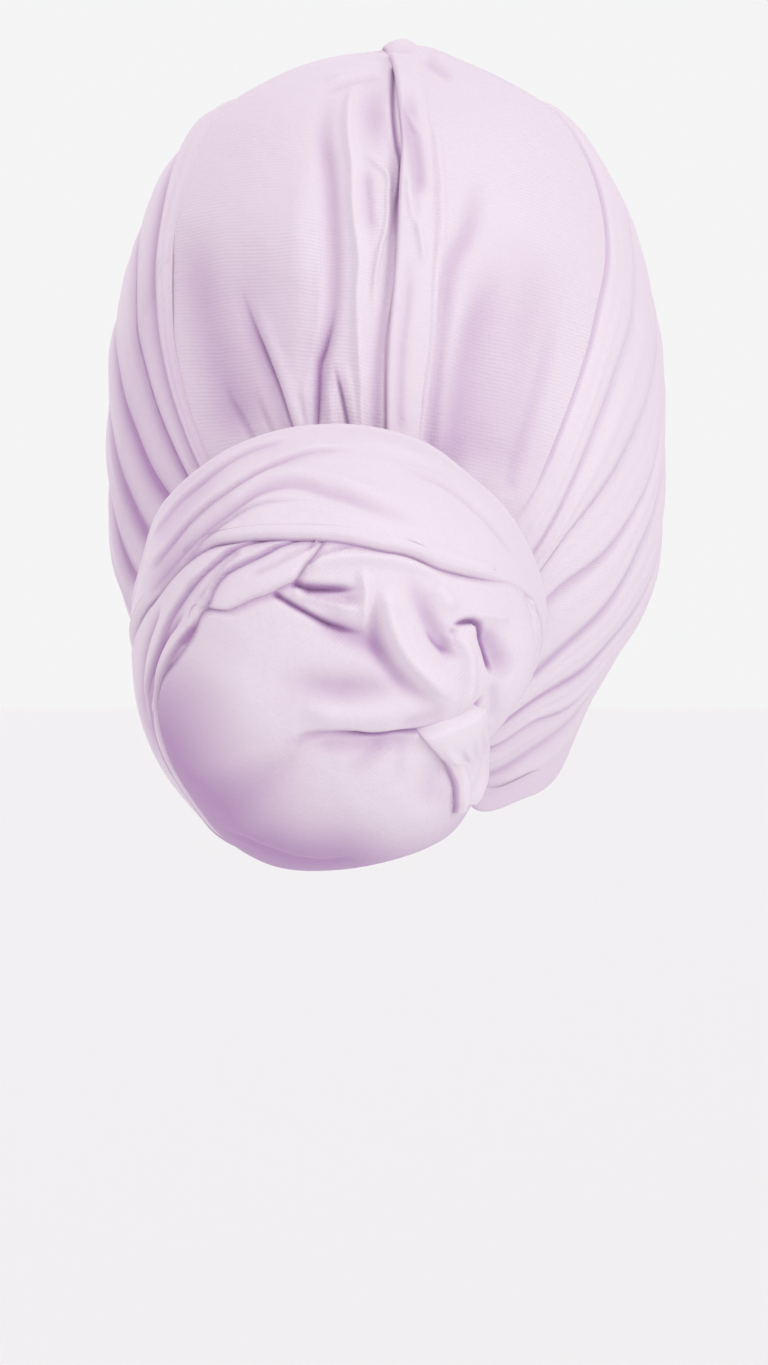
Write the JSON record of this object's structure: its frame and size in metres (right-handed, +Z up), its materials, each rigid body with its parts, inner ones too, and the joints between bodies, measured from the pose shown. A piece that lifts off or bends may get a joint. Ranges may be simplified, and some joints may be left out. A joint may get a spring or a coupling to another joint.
{
  "type": "turban",
  "caption": "Pulled-back jersey turban: fitted crown, wide pleated wrap round the forehead and a round wound bun low at the back.",
  "frame": {"origin": "inner top of the crown, where it sits on the top of the head", "axes": "+Z up, the face looks to -Y, the bun is at +Y, +X is the wearer's left"},
  "size_m": [0.1811, 0.2835, 0.2622],
  "materials": {
    "crown_cloth": "fine lilac jersey knit, soft matt sheen",
    "centre_pleat_cloth": "fine lilac jersey knit, soft matt sheen",
    "front_wrap_cloth": "fine lilac jersey knit, soft matt sheen",
    "bun_pouch_cloth": "fine lilac jersey knit, soft matt sheen",
    "bun_wrap_cloth": "fine lilac jersey knit, soft matt sheen",
    "tucked_tail_cloth": "fine lilac jersey knit, soft matt sheen"
  },
  "bodies": {
    "root": {"crown": "crown_cloth", "centre_pleat": "centre_pleat_cloth", "front_wrap": "front_wrap_cloth", "bun_pouch": "bun_pouch_cloth", "bun_wrap": "bun_wrap_cloth", "tucked_tail": "tucked_tail_cloth"}
  },
  "joints": []
}
